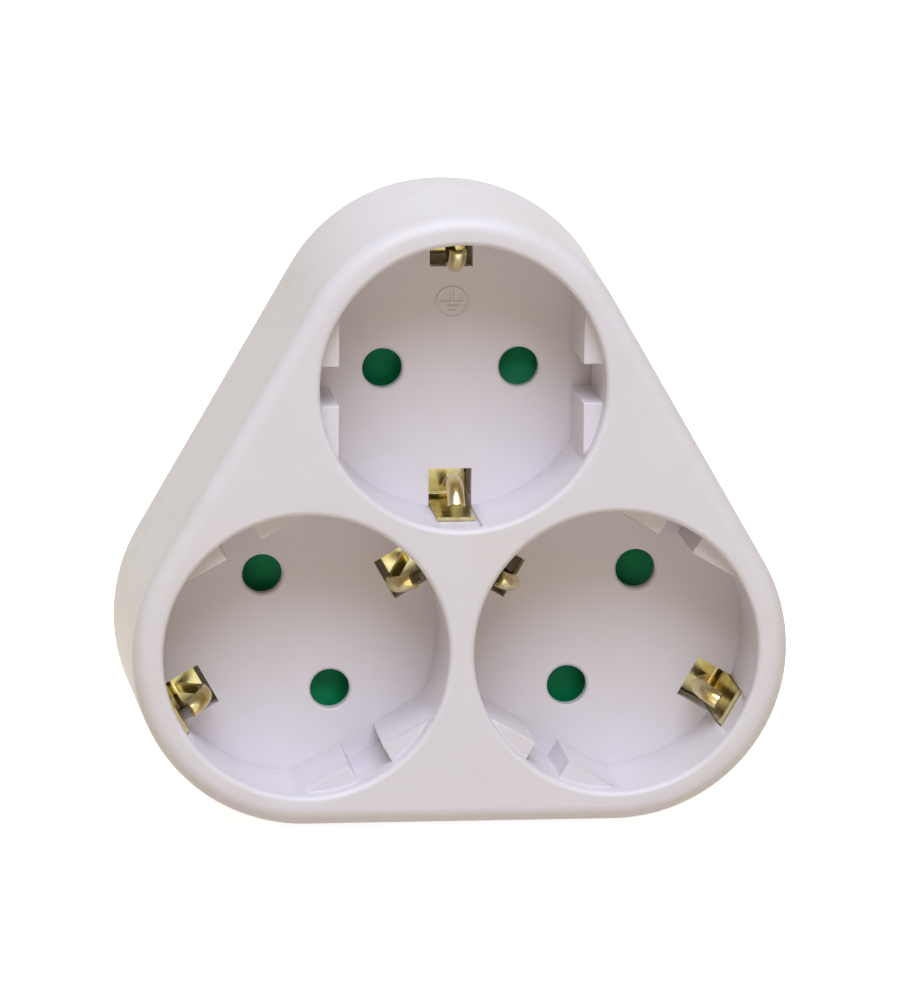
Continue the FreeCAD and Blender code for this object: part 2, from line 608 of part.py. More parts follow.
def build_socket_plate(name, turn):
    body = socket_piece("socket_plate_" + name, turn)
    disc(body, "floor", pad, PLATE_RADIUS, "well_depth", PLATE_BACK)
    sketch = new_sketch(body, "skirt_sketch", depth=PLATE_BACK)
    add_circle(sketch, PLATE_RADIUS)
    add_circle(sketch, PLATE_RADIUS + " - skirt_wall")
    pad(body, "skirt", sketch, "%s - %s" % (CARRIER_FRONT, PLATE_BACK))
    sketch = new_sketch(body, "pin_holes_sketch", depth="well_depth")
    add_circle(sketch, "pin_hole_radius", "pin_spacing / 2")
    add_circle(sketch, "pin_hole_radius", "-pin_spacing / 2")
    pocket(body, "pin_holes", sketch, "plate_thickness")
    slots = {"upper_slot": ("-" + PLATE_SEAT, "-" + TONGUE_REACH), "lower_slot": (TONGUE_REACH, PLATE_SEAT)}
    for slot_name, reach in slots.items():
        block(body, slot_name, pocket, ("-" + NOTCH_HALF, NOTCH_HALF) + reach, "well_depth", CARRIER_FRONT)
    dress(body, "pin_hole_lead", "Chamfer",
          lambda edge: at_depth(edge, "well_depth") and is_round(edge, "pin_hole_radius"), "pin_hole_chamfer")


def build_shutter(name, turn):
    body = socket_piece("shutter_" + name, turn)
    disc(body, "hub", pad, HUB_RADIUS, SHUTTER_FRONT, SHUTTER_BACK)
    sketch = new_sketch(body, "blade_sketch", depth=SHUTTER_FRONT)
    add_sector(sketch, BLADE_RADIUS, "blade_angle / 2")
    blade = pad(body, "blade", sketch, "shutter_thickness")

    # the dished ramp falls to one side, so that two pins turn the shutter and one alone jams it
    sketch = new_sketch(body, "ramp_sketch", depth=HUB_RADIUS + " + ramp_land", role="YZ_Plane")
    add_ramp(sketch)
    ramp = pocket(body, "ramp", sketch, BLADE_RADIUS)
    around(body, "two_blades", [blade, ramp], 2)

    sketch = new_sketch(body, "spring_room_sketch", depth="(%s + spring_floor)" % SHUTTER_FRONT)
    add_circle(sketch, COIL_RADIUS + " + spring_wire_radius + spring_clearance")
    add_circle(sketch, COIL_RADIUS + " - spring_wire_radius - spring_clearance")
    pocket(body, "spring_room", sketch, "shutter_thickness - spring_floor")
    disc(body, "spring_leg_hole", pocket, "spring_wire_radius + spring_clearance",
         SHUTTER_FRONT, SHUTTER_BACK, COIL_RADIUS)
    disc(body, "bore", pocket, "post_radius + pivot_clearance", SHUTTER_FRONT, SHUTTER_BACK)


def build_shutter_spring(name, turn):
    body = socket_piece("shutter_spring_" + name, turn)
    start = "(%s + spring_floor + spring_wire_radius + spring_lift)" % SHUTTER_FRONT
    end = "(%s + spring_pitch * %s)" % (start, SPRING_TURNS)
    sketch = new_sketch(body, "wire_sketch", role="XZ_Plane")
    add_wire(sketch, COIL_RADIUS, start)
    coil = body.newObject("PartDesign::AdditiveHelix", "coil")
    coil.Profile = sketch
    coil.ReferenceAxis = (sketch, ["V_Axis"])
    coil.Mode = "pitch-turns-angle"
    coil.setExpression("Pitch", bound("spring_pitch"))
    coil.Turns = SPRING_TURNS
    body.Tip = coil
    legs = {"front_leg": (COIL_RADIUS, "(%s + shutter_gap)" % SHUTTER_FRONT, start),
            "back_leg": ("-" + COIL_RADIUS, end, "(%s - spring_lift)" % CARRIER_BACK)}
    for leg, (across, leg_start, leg_end) in legs.items():
        sketch = new_sketch(body, leg + "_sketch", depth=leg_start)
        add_wire(sketch, across, "0")
        pad(body, leg, sketch, "%s - %s" % (leg_end, leg_start))


def build_contact_carrier():
    body = new_piece("contact_carrier")
    sketch = triangle_sketch(body, "plate_outline", CARRIER_FRONT, CAVITY_CORNER + " - carrier_play")
    pad(body, "plate", sketch, "carrier_thickness")
    axis = "-" + SOCKET_OFFSET
    post = disc(body, "pivot_post", pad, "post_radius", SHUTTER_FRONT, CARRIER_FRONT, "0", axis)
    features = [post]
    for side, name in (("", "right"), ("-", "left")):
        features.append(disc(body, name + "_pin_way", pocket, "contact_bore_radius",
                             CARRIER_FRONT, CARRIER_BACK, side + "pin_spacing / 2", axis))
    half = "(strap_width / 2 + carrier_clearance)"
    outer = "(%s + carrier_clearance)" % STRAP_REACH
    inner = "(%s + carrier_land)" % TONGUE_REACH
    for side, name in (("-", "outer"), ("+", "inner")):
        reaches = (inner, outer) if side == "+" else (outer, inner)
        sides = ["-" + half, half] + ["%s %s %s" % (axis, side, reach) for reach in reaches]
        features.append(block(body, name + "_strap_slot", pocket, sides, CARRIER_FRONT, CARRIER_BACK))
    features.append(disc(body, "spring_leg_hole", pocket, "spring_wire_radius + pivot_clearance",
                         CARRIER_FRONT, CARRIER_BACK, "-" + COIL_RADIUS, axis))
    features.append(disc(body, "screw_boss_hole", pocket, SCREW_BOSS + " + carrier_clearance",
                         CARRIER_FRONT, CARRIER_BACK, "0", SCREW_OFFSET))
    around(body, "three_stations", features, 3)


# Brass

def build_contact(label, side, turn):
    across = "%d * pin_spacing / 2 * cos(%d) + %s * sin(%d)" % (side, turn, SOCKET_OFFSET, turn)
    down = "%d * pin_spacing / 2 * sin(%d) - %s * cos(%d)" % (side, turn, SOCKET_OFFSET, turn)
    body = new_piece(label, across, down, turn)
    flange_back = "%s + contact_flange_thickness" % CARRIER_BACK
    slit_start = "(%s - contact_slit_length)" % CONTACT_END
    revolve(body, "sleeve", [
        ("contact_bore_radius", CARRIER_BACK),
        (FLANGE_RADIUS, CARRIER_BACK),
        (FLANGE_RADIUS, flange_back),
        (CONTACT_RADIUS, flange_back),
        (CONTACT_RADIUS, CONTACT_END),
        ("contact_bore_radius - contact_squeeze", CONTACT_END),
        ("contact_bore_radius", slit_start)])
    half = "contact_slit_width / 2"
    reaches = ("-" + FLANGE_RADIUS, FLANGE_RADIUS, "-" + half, half)
    block(body, "level_slit", pocket, reaches, slit_start, CONTACT_END)
    block(body, "upright_slit", pocket, reaches[2:] + reaches[:2], slit_start, CONTACT_END)


def build_bus_bar(label, side, front, row, reach):
    """T-shaped strip: a drop from the top contact past the pin, and a row between the lower contacts."""
    body = new_piece(label)
    back = "(%s + bar_thickness)" % front
    drop = "%d * pin_spacing / 2" % side
    half = "bar_width / 2"
    socket = "-" + SOCKET_OFFSET
    block(body, "drop", pad, (drop + " - " + half, drop + " + " + half, socket, row), front, back)
    block(body, "row", pad, ("-" + reach, reach, "%s - %s" % (row, half), "%s + %s" % (row, half)),
          front, back)
    eyes = [(drop, socket), (reach, row), ("-" + reach, row)]
    for place, (across, down) in enumerate(eyes, start=1):
        disc(body, "eye_%d" % place, pad, CONTACT_RADIUS + " + eye_border", front, back, across, down)
    for place, (across, down) in enumerate(eyes, start=1):
        disc(body, "contact_hole_%d" % place, pocket, CONTACT_RADIUS, front, back, across, down)
    disc(body, "pin_hole", pocket, "pin_stem_radius", front, back, drop)
    disc(body, "screw_relief", pocket, SCREW_TUBE + " + screw_tube_clearance", front, back, "0", SCREW_OFFSET)


def build_earth_strap(name, turn):
    body = socket_piece("earth_strap_" + name, turn)
    inner = "(%s - strap_thickness)" % STRAP_REACH
    top = "(well_depth - strap_height)"
    base_back = "(%s + strap_thickness)" % CARRIER_BACK
    sketch = new_sketch(body, "side_outline", role="YZ_Plane")
    add_outline(sketch, [
        ("-" + STRAP_REACH, top), ("-" + inner, top), ("-" + inner, CARRIER_BACK),
        (inner, CARRIER_BACK), (inner, top), (STRAP_REACH, top),
        (STRAP_REACH, base_back), ("-" + STRAP_REACH, base_back)])
    strap = pad(body, "folded_strap", sketch, "strap_width")
    strap.Midplane = True

    # each tongue is a leaf that leans in from the base, with a round nose that turns back to the wall
    sketch = new_sketch(body, "leaf_outline", role="YZ_Plane")
    add_tongue_leaf(sketch)
    leaf = pad(body, "leaf", sketch, "tongue_leaf_width")
    leaf.Midplane = True
    sketch = new_sketch(body, "nose_outline", depth=NOSE_DEPTH,
                        down="(%s + tongue_bow_radius + strap_thickness)" % TONGUE_REACH)
    add_half_tube(sketch, "-(tongue_bow_radius + strap_thickness - tongue_width / 2)", "tongue_width / 2",
                  "strap_thickness")
    nose = body.newObject("PartDesign::Revolution", "nose")
    nose.Profile = sketch
    nose.ReferenceAxis = (sketch, ["H_Axis"])
    nose.Type = "TwoAngles"
    nose.setExpression("Angle", bound("tongue_root_angle"))
    nose.setExpression("Angle2", bound("tongue_tip_angle"))
    nose.Reversed = True
    around(body, "two_tongues", [leaf, nose], 2)
    dress(body, "inner_bends", "Fillet",
          lambda edge: at_depth(edge, CARRIER_BACK) and at_reach(edge, inner), "strap_bend - strap_thickness")
    dress(body, "outer_bends", "Fillet",
          lambda edge: at_depth(edge, base_back) and at_reach(edge, STRAP_REACH), "strap_bend")


def build_earth_link():
    body = new_piece("earth_link")
    front = "(%s + strap_thickness)" % CARRIER_BACK
    reach = "%s - %s + link_overlap" % (SOCKET_OFFSET, STRAP_REACH)
    disc(body, "disc", pad, reach, front, "(%s + bar_thickness)" % front)
    block(body, "leg", pad, ("-link_leg_width / 2", "link_leg_width / 2",
                             "-link_leg_offset - bar_thickness / 2", "-link_leg_offset + bar_thickness / 2"),
          front, PLUG_STRAP)


def build_plug_earth_strap():
    body = new_piece("plug_earth_strap")
    outer = "(%s + plug_strap_thickness)" % GROOVE_REACH
    base_back = "(%s + plug_strap_thickness)" % PLUG_STRAP
    end = "%s - plug_strap_end" % PLUG_FACE
    sketch = new_sketch(body, "side_outline", role="YZ_Plane")
    add_outline(sketch, [
        ("-" + outer, PLUG_STRAP), (outer, PLUG_STRAP), (outer, end),
        (GROOVE_REACH, end), (GROOVE_REACH, base_back),
        ("-" + GROOVE_REACH, base_back), ("-" + GROOVE_REACH, end), ("-" + outer, end)])
    strap = pad(body, "folded_strap", sketch, "strap_width")
    strap.Midplane = True
    dress(body, "outer_bends", "Fillet",
          lambda edge: at_depth(edge, PLUG_STRAP) and at_reach(edge, outer), "plug_strap_thickness")


def build_pin(label, side, bar_front):
    body = new_piece(label, "%d * pin_spacing / 2" % side)
    head_front = "%s - pin_head_height" % bar_front
    head_radius = "(pin_stem_radius + pin_head_border)"
    collar_start = "(%s + pin_collar_inset)" % BACK_FACE
    collar_end = "(%s + pin_collar_reach)" % PLUG_FACE
    revolve(body, "turned_pin", [
        ("0", head_front), (head_radius, head_front), (head_radius, bar_front),
        ("pin_stem_radius", bar_front), ("pin_stem_radius", collar_start),
        (PIN_COLLAR, collar_start), (PIN_COLLAR, collar_end),
        ("pin_radius", collar_end), ("pin_radius", PIN_TIP), ("0", PIN_TIP)])
    dress(body, "tip_round", "Fillet", lambda edge: at_depth(edge, PIN_TIP), "pin_tip_round")


def build_screw(name, turn):
    body = new_piece("housing_screw_" + name, "-%s * sin(%d)" % (SCREW_OFFSET, turn),
                     "%s * cos(%d)" % (SCREW_OFFSET, turn), turn)
    head_back = "(%s + screw_head_height)" % SCREW_SEAT
    end = "%s - screw_length" % SCREW_SEAT
    revolve(body, "turned_screw", [
        ("0", end), ("screw_radius", end), ("screw_radius", SCREW_SEAT),
        ("screw_head_radius", SCREW_SEAT), ("screw_head_radius", head_back), ("0", head_back)])
    long_side = "screw_slot_length / 2"
    short_side = "screw_slot_width / 2"
    start = "(%s - screw_slot_depth)" % head_back
    block(body, "level_slot", pocket, ("-" + long_side, long_side, "-" + short_side, short_side),
          start, head_back)
    block(body, "upright_slot", pocket, ("-" + short_side, short_side, "-" + long_side, long_side),
          start, head_back)


LINE_ROW = "(%s / 2 - pin_spacing / 2 * sin(60))" % SOCKET_OFFSET
LINE_REACH = "(%s * sin(60) + pin_spacing / 4)" % SOCKET_OFFSET
NEUTRAL_ROW = "(%s / 2 + pin_spacing / 2 * sin(60))" % SOCKET_OFFSET
NEUTRAL_REACH = "(%s * sin(60) - pin_spacing / 4)" % SOCKET_OFFSET
LINE_SIDE = {"top": 1, "right": -1, "left": 1}

build_front_housing()
build_rear_housing()
for socket, turned in SOCKETS:
    build_socket_plate(socket, turned)
    build_shutter(socket, turned)
    build_shutter_spring(socket, turned)
    build_contact("line_contact_" + socket, LINE_SIDE[socket], turned)
    build_contact("neutral_contact_" + socket, -LINE_SIDE[socket], turned)
    build_earth_strap(socket, turned)
build_contact_carrier()
build_bus_bar("line_bus_bar", 1, LINE_BAR, LINE_ROW, LINE_REACH)
build_bus_bar("neutral_bus_bar", -1, NEUTRAL_BAR, NEUTRAL_ROW, NEUTRAL_REACH)
build_earth_link()
build_plug_earth_strap()
build_pin("line_pin", 1, LINE_BAR)
build_pin("neutral_pin", -1, NEUTRAL_BAR)
for screw, turned in SIDES:
    build_screw(screw, turned)
document.recompute()

for item in document.Objects:
    if "Invalid" in item.State or "Error" in item.State:
        raise RuntimeError("%s is %s" % (item.Label, item.State))

os.makedirs("parts", exist_ok=True)
for piece in pieces:
    shape = piece.Shape
    if shape.isNull() or not shape.isValid() or len(shape.Solids) != 1:
        raise RuntimeError("%s has no single valid solid" % piece.Label)
    shape.exportStep("parts/%s.step" % piece.Label)
    print("%-24s %9.1f mm3" % (piece.Label, shape.Volume))
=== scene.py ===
import math

import bmesh
import bpy
from mathutils import Matrix, Vector


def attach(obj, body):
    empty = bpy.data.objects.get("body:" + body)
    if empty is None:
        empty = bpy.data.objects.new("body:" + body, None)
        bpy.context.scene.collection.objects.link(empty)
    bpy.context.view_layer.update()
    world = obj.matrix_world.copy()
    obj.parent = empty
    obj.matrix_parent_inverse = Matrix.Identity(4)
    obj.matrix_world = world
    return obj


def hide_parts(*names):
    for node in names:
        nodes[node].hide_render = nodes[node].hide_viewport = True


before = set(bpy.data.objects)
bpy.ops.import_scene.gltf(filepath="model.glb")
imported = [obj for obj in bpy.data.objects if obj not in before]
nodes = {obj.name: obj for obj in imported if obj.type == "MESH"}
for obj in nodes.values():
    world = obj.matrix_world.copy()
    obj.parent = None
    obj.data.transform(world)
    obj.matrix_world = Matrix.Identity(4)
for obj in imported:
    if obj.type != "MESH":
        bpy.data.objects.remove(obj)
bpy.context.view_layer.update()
mm = 0.001
print("frame loaded:", len(nodes), "pieces")


def hexColour(text):
    channels = [int(text[i:i + 2], 16) / 255 for i in (1, 3, 5)]
    linear = [c / 12.92 if c <= 0.04045 else ((c + 0.055) / 1.055) ** 2.4 for c in channels]
    return (*linear, 1.0)


def addNode(tree, kind, links=None, **settings):
    # one node: inputs holds the values of its sockets, the other settings are its own properties
    node = tree.nodes.new(kind)
    inputs = settings.pop("inputs", {})
    for name, value in settings.items():
        setattr(node, name, value)
    for name, value in inputs.items():
        node.inputs[name].default_value = value
    for name, source in (links or {}).items():
        tree.links.new(source, node.inputs[name])
    return node


def newMaterial(name):
    material = bpy.data.materials.new(name)
    material.use_nodes = True
    tree = material.node_tree
    tree.nodes.clear()
    return material, tree


def finishMaterial(tree, shader):
    addNode(tree, "ShaderNodeOutputMaterial", {"Surface": shader})


plasticLooks = {
    "grainSize": 0.45 * mm,     # spark-eroded mould texture
    "grainHeight": 0.02 * mm,
    "cloudSize": 14 * mm,       # slow colour drift of the moulding
    "glossDrift": (-0.05, 0.07),
    "stainSize": 26 * mm,       # where hands and plugs have yellowed it
    "stainStarts": 0.5,
    "stainFull": 0.75,
    "speckSpacing": 9 * mm,     # dust and handling specks
    "speckCore": 0.012,         # shares of the spacing
    "speckEdge": 0.03,
    "speckColour": "#8A8078",
    "spotDarkness": 0.7,        # of the single spots that have a place of their own
    "spotCore": 0.4,            # share of a spot's radius
    "lightDepth": 0.8 * mm,     # how far light spreads under the surface
}


def mouldedPlastic(name, look):
    material, tree = newMaterial(name)
    place = addNode(tree, "ShaderNodeTexCoord").outputs["Object"]
    cloud = addNode(tree, "ShaderNodeTexNoise", {"Vector": place},
                    inputs={"Scale": 1 / plasticLooks["cloudSize"], "Detail": 3.0, "Roughness": 0.6})
    colour = addNode(tree, "ShaderNodeMix", {"Factor": cloud.outputs["Fac"]}, data_type="RGBA",
                     inputs={"A": hexColour(look["dark"]), "B": hexColour(look["light"])}).outputs["Result"]
    if "stain" in look:
        patches = addNode(tree, "ShaderNodeTexNoise", {"Vector": place},
                          inputs={"Scale": 1 / plasticLooks["stainSize"], "Detail": 5.0, "Roughness": 0.65})
        stained = addNode(tree, "ShaderNodeMapRange", {"Value": patches.outputs["Fac"]},
                          inputs={"From Min": plasticLooks["stainStarts"], "From Max": plasticLooks["stainFull"],
                                  "To Max": look["stained"]})
        colour = addNode(tree, "ShaderNodeMix", {"Factor": stained.outputs["Result"], "A": colour},
                         data_type="RGBA", inputs={"B": hexColour(look["stain"])}).outputs["Result"]
    if "specks" in look:
        cells = addNode(tree, "ShaderNodeTexVoronoi", {"Vector": place},
                        inputs={"Scale": 1 / plasticLooks["speckSpacing"], "Randomness": 1.0})
        dirt = addNode(tree, "ShaderNodeMapRange", {"Value": cells.outputs["Distance"]},
                       inputs={"From Min": plasticLooks["speckCore"], "From Max": plasticLooks["speckEdge"],
                               "To Min": look["specks"], "To Max": 0.0}).outputs["Result"]
        for spot, radius in look.get("spots", []):
            near = addNode(tree, "ShaderNodeVectorMath", {0: place}, operation="DISTANCE",
                           inputs={1: [value * mm for value in spot]})
            near = addNode(tree, "ShaderNodeMapRange", {"Value": near.outputs["Value"]},
                           inputs={"From Min": plasticLooks["spotCore"] * radius * mm, "From Max": radius * mm,
                                   "To Min": plasticLooks["spotDarkness"], "To Max": 0.0})
            dirt = addNode(tree, "ShaderNodeMath", {0: dirt, 1: near.outputs["Result"]},
                           operation="MAXIMUM").outputs["Value"]
        colour = addNode(tree, "ShaderNodeMix", {"Factor": dirt, "A": colour}, data_type="RGBA",
                         inputs={"B": hexColour(plasticLooks["speckColour"])}).outputs["Result"]
    smoothest, dullest = plasticLooks["glossDrift"]
    gloss = addNode(tree, "ShaderNodeMapRange", {"Value": cloud.outputs["Fac"]},
                    inputs={"To Min": look["roughness"] + smoothest, "To Max": look["roughness"] + dullest})
    grain = addNode(tree, "ShaderNodeTexNoise", {"Vector": place},
                    inputs={"Scale": 1 / plasticLooks["grainSize"], "Detail": 2.0, "Roughness": 0.5})
    relief = addNode(tree, "ShaderNodeBump", {"Height": grain.outputs["Fac"]},
                     inputs={"Strength": look["grain"], "Distance": plasticLooks["grainHeight"]})
    shader = addNode(tree, "ShaderNodeBsdfPrincipled",
                     {"Base Color": colour, "Roughness": gloss.outputs["Result"],
                      "Normal": relief.outputs["Normal"]},
                     inputs={"IOR": 1.5, "Specular IOR Level": look["shine"],
                             "Subsurface Weight": look["translucency"], "Subsurface Radius": (1.0, 0.9, 0.85),
                             "Subsurface Scale": plasticLooks["lightDepth"]})
    finishMaterial(tree, shader.outputs["BSDF"])
    return material


# ABS, injection moulded and spark-eroded: a cool white with a soft gloss, a little yellowed by handling
housingAbs = mouldedPlastic("housingAbs", {
    "light": "#DCD4DB", "dark": "#D6CED4", "stain": "#D1C6BF", "stained": 0.55,
    "roughness": 0.4, "grain": 0.25, "specks": 0.3, "translucency": 0.12, "shine": 0.35,
    "spots": [((-1.4, -36.6, 3.3), 0.35), ((-14.7, -37.6, 79.8), 0.3), ((-35.6, -36.8, 48.4), 0.3)],
})
# the floors are a separate moulding of the same ABS, a touch flatter
plateAbs = mouldedPlastic("plateAbs", {
    "light": "#E7DFE6", "dark": "#E0D8DE", "stain": "#D8CEC5", "stained": 0.4,
    "roughness": 0.44, "grain": 0.25, "specks": 0.3, "translucency": 0.1, "shine": 0.35,
})
# polyamide of the carrier, natural and dull
carrierPolyamide = mouldedPlastic("carrierPolyamide", {
    "light": "#CFC8B9", "dark": "#C4BCAA", "roughness": 0.55, "grain": 0.3, "translucency": 0.0, "shine": 0.4,
})
# polypropylene shutters, coloured through: a deep emerald with a waxy, weak gloss
shutterPolypropylene = mouldedPlastic("shutterPolypropylene", {
    "light": "#008C5A", "dark": "#007B4C", "roughness": 0.4, "grain": 0.15, "translucency": 0.0, "shine": 0.14,
})


metalLooks = {
    "rollLine": 0.12 * mm,      # width of a rolling line in the sheet
    "lineDepth": 0.01 * mm,
    "glossDrift": (-0.04, 0.06),
    "stainSize": 3 * mm,        # tarnish
    "stainStarts": 0.42,
    "stainFull": 0.68,
}


def drawnMetal(name, look):
    material, tree = newMaterial(name)
    place = addNode(tree, "ShaderNodeTexCoord").outputs["Object"]
    stretched = addNode(tree, "ShaderNodeMapping", {"Vector": place}, inputs={"Scale": look["along"]})
    lines = addNode(tree, "ShaderNodeTexNoise", {"Vector": stretched.outputs["Vector"]},
                    inputs={"Scale": 1 / metalLooks["rollLine"], "Detail": 2.0})
    stains = addNode(tree, "ShaderNodeTexNoise", {"Vector": place},
                     inputs={"Scale": 1 / metalLooks["stainSize"], "Detail": 4.0, "Roughness": 0.6})
    mask = addNode(tree, "ShaderNodeMapRange", {"Value": stains.outputs["Fac"]},
                   inputs={"From Min": metalLooks["stainStarts"], "From Max": metalLooks["stainFull"]})
    colour = addNode(tree, "ShaderNodeMix", {"Factor": mask.outputs["Result"]}, data_type="RGBA",
                     inputs={"A": hexColour(look["clean"]), "B": hexColour(look["stained"])})
    smoothest, dullest = metalLooks["glossDrift"]
    gloss = addNode(tree, "ShaderNodeMapRange", {"Value": lines.outputs["Fac"]},
                    inputs={"To Min": look["roughness"] + smoothest, "To Max": look["roughness"] + dullest})
    relief = addNode(tree, "ShaderNodeBump", {"Height": lines.outputs["Fac"]},
                     inputs={"Strength": look["grain"], "Distance": metalLooks["lineDepth"]})
    shader = addNode(tree, "ShaderNodeBsdfPrincipled",
                     {"Base Color": colour.outputs["Result"], "Roughness": gloss.outputs["Result"],
                      "Normal": relief.outputs["Normal"]}, inputs={"Metallic": 1.0})
    finishMaterial(tree, shader.outputs["BSDF"])
    return material


# rolled brass strip under a thin bright flash: pale gold, darker where it has tarnished
contactBrass = drawnMetal("contactBrass", {
    "clean": "#E3DAA8", "stained": "#C9AC58", "roughness": 0.21, "along": (1, 0.05, 1), "grain": 0.03,
})
# nickel plating on the turned pins, the turning lines run round them
pinNickel = drawnMetal("pinNickel", {
    "clean": "#D2CCC2", "stained": "#C6BFB3", "roughness": 0.22, "along": (0.05, 1, 0.05), "grain": 0.08,
})
# drawn spring wire
springSteel = drawnMetal("springSteel", {
    "clean": "#B9BAC0", "stained": "#A3A4A8", "roughness": 0.28, "along": (1, 1, 0.04), "grain": 0.1,
})
# zinc plating, passivated: dull silver
screwZinc = drawnMetal("screwZinc", {
    "clean": "#C9CACB", "stained": "#AEAEA6", "roughness": 0.3, "along": (1, 1, 0.04), "grain": 0.1,
})

finishOf = {
    "front_housing": housingAbs, "rear_housing": housingAbs, "socket_plate": plateAbs,
    "shutter_spring": springSteel, "shutter": shutterPolypropylene, "contact_carrier": carrierPolyamide,
    "line_pin": pinNickel, "neutral_pin": pinNickel, "housing_screw": screwZinc,
}


def finishFor(name):
    match = [key for key in finishOf if name.startswith(key)]
    return finishOf[max(match, key=len)] if match else contactBrass


for name, node in nodes.items():
    node.data.materials.clear()
    node.data.materials.append(finishFor(name))
print("materials set")


moulding = {
    "mergeWithin": 0.002 * mm,
    "sharpFrom": 60,            # degrees, from which an edge is an edge of the mould and gets a rounding
    "creaseFrom": 50,           # degrees, from which any other edge is drawn as a crease
    "shortest": 0.4 * mm,       # shorter edges are facets of a rounding
    "edgeRound": 0.15 * mm,     # a mould's edges are never quite sharp
    "roundSteps": 2,
    # piece and the depth range where its edges show
    "pieces": [("front_housing", -35.9 * mm, -20.4 * mm), ("rear_housing", -1.0 * mm, 40 * mm)],
}


def softenedCopy(name, front, back):
    # a shell with its edges slightly round, as it comes from the mould; the wells' rims are round already
    shell = bmesh.new()
    shell.from_mesh(nodes[name].data)
    bmesh.ops.remove_doubles(shell, verts=shell.verts, dist=moulding["mergeWithin"])
    weights = shell.edges.layers.float.new("bevel_weight_edge")
    rounded = 0
    for edge in shell.edges:
        depths = [corner.co.y for corner in edge.verts]
        angle = math.degrees(edge.calc_face_angle()) if edge.is_manifold else 180
        if (moulding["sharpFrom"] < angle < 180 and edge.calc_length() > moulding["shortest"]
                and min(depths) > front and max(depths) < back):
            edge[weights] = 1.0
            rounded += 1
        elif angle > moulding["creaseFrom"]:
            edge.smooth = False
    mesh = bpy.data.meshes.new(name + "_soft")
    shell.to_mesh(mesh)
    shell.free()
    mesh.materials.append(finishFor(name))
    for face in mesh.polygons:
        face.use_smooth = True
    piece = bpy.data.objects.new(name + "_soft", mesh)
    bpy.context.collection.objects.link(piece)
    edges = piece.modifiers.new("edges", "BEVEL")
    edges.width = moulding["edgeRound"]
    edges.segments = moulding["roundSteps"]
    edges.limit_method = "WEIGHT"
    edges.use_clamp_overlap = False
    normals = piece.modifiers.new("normals", "WEIGHTED_NORMAL")
    normals.keep_sharp = True
    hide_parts(name)
    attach(piece, "adapter")
    print(name, "softened along", rounded, "edges")


for name, front, back in moulding["pieces"]:
    softenedCopy(name, front, back)


earthMark = {
    "place": (0.13 * mm, -20.5 * mm, 70.8 * mm),    # on the top socket's floor
    "ringRadius": 2.1 * mm,
    "lineWidth": 0.5 * mm,
    "relief": 0.14 * mm,
    "longestBar": 2.9 * mm,
    "barPitch": 0.62 * mm,
    "bars": 3,
}


